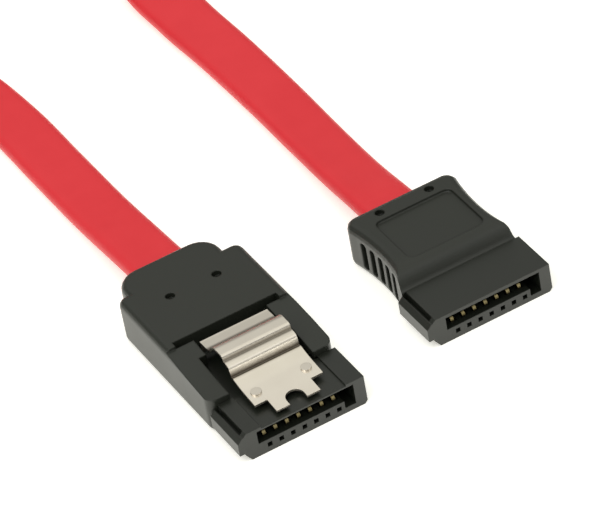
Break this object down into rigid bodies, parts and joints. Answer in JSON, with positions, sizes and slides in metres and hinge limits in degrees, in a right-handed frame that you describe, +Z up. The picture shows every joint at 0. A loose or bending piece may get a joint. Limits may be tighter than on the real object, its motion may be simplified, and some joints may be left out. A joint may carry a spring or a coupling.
{
  "type": "flat serial data cable",
  "caption": "Flat red serial data cable, coiled and tied, with a black plug on each end: one held by a sprung steel latch, one plain.",
  "frame": {"origin": "bottom centre of the two plugs together, on the surface that they lie on", "axes": "+Z up; -Y out of the plugs' mouths; +X along the contact rows, from the latched plug to the plain one"},
  "size_m": [0.0629, 0.1504, 0.014],
  "materials": {
    "black_housing": "moulded, light satin",
    "black_boot": "overmoulded, fine matt grain",
    "contact_metal": "thin gold plating",
    "wire_metal": "bare drawn copper",
    "spring_steel": "rolled stainless strip",
    "red_jacket": "smooth soft jacket with a low sheen",
    "tie_plastic": "smooth moulded nylon"
  },
  "bodies": {
    "cable": {"latched_housing": "black_housing", "latched_boot": "black_boot", "latched_contact_1": "contact_metal", "latched_contact_2": "contact_metal", "latched_contact_3": "contact_metal", "latched_contact_4": "contact_metal", "latched_contact_5": "contact_metal", "latched_contact_6": "contact_metal", "latched_contact_7": "contact_metal", "latched_wire_1": "wire_metal", "latched_wire_2": "wire_metal", "latched_wire_3": "wire_metal", "latched_wire_4": "wire_metal", "latched_wire_5": "wire_metal", "latched_wire_6": "wire_metal", "latched_wire_7": "wire_metal", "plain_housing": "black_housing", "plain_boot": "black_boot", "plain_contact_1": "contact_metal", "plain_contact_2": "contact_metal", "plain_contact_3": "contact_metal", "plain_contact_4": "contact_metal", "plain_contact_5": "contact_metal", "plain_contact_6": "contact_metal", "plain_contact_7": "contact_metal", "plain_wire_1": "wire_metal", "plain_wire_2": "wire_metal", "plain_wire_3": "wire_metal", "plain_wire_4": "wire_metal", "plain_wire_5": "wire_metal", "plain_wire_6": "wire_metal", "plain_wire_7": "wire_metal", "cable_latched_end": "red_jacket", "cable_plain_end": "red_jacket", "cable_coil": "red_jacket", "coil_tie": "tie_plastic"},
    "latch": {"latch": "spring_steel"}
  },
  "joints": [
    {"name": "latch_press", "type": "hinge", "parent": "cable", "child": "latch", "pos_m": [-0.011, -0.00063, 0.0047], "axis": [1, 0, 0], "range_deg": [0, 1.2], "stiffness_Nm_per_rad": 0.02}
  ]
}
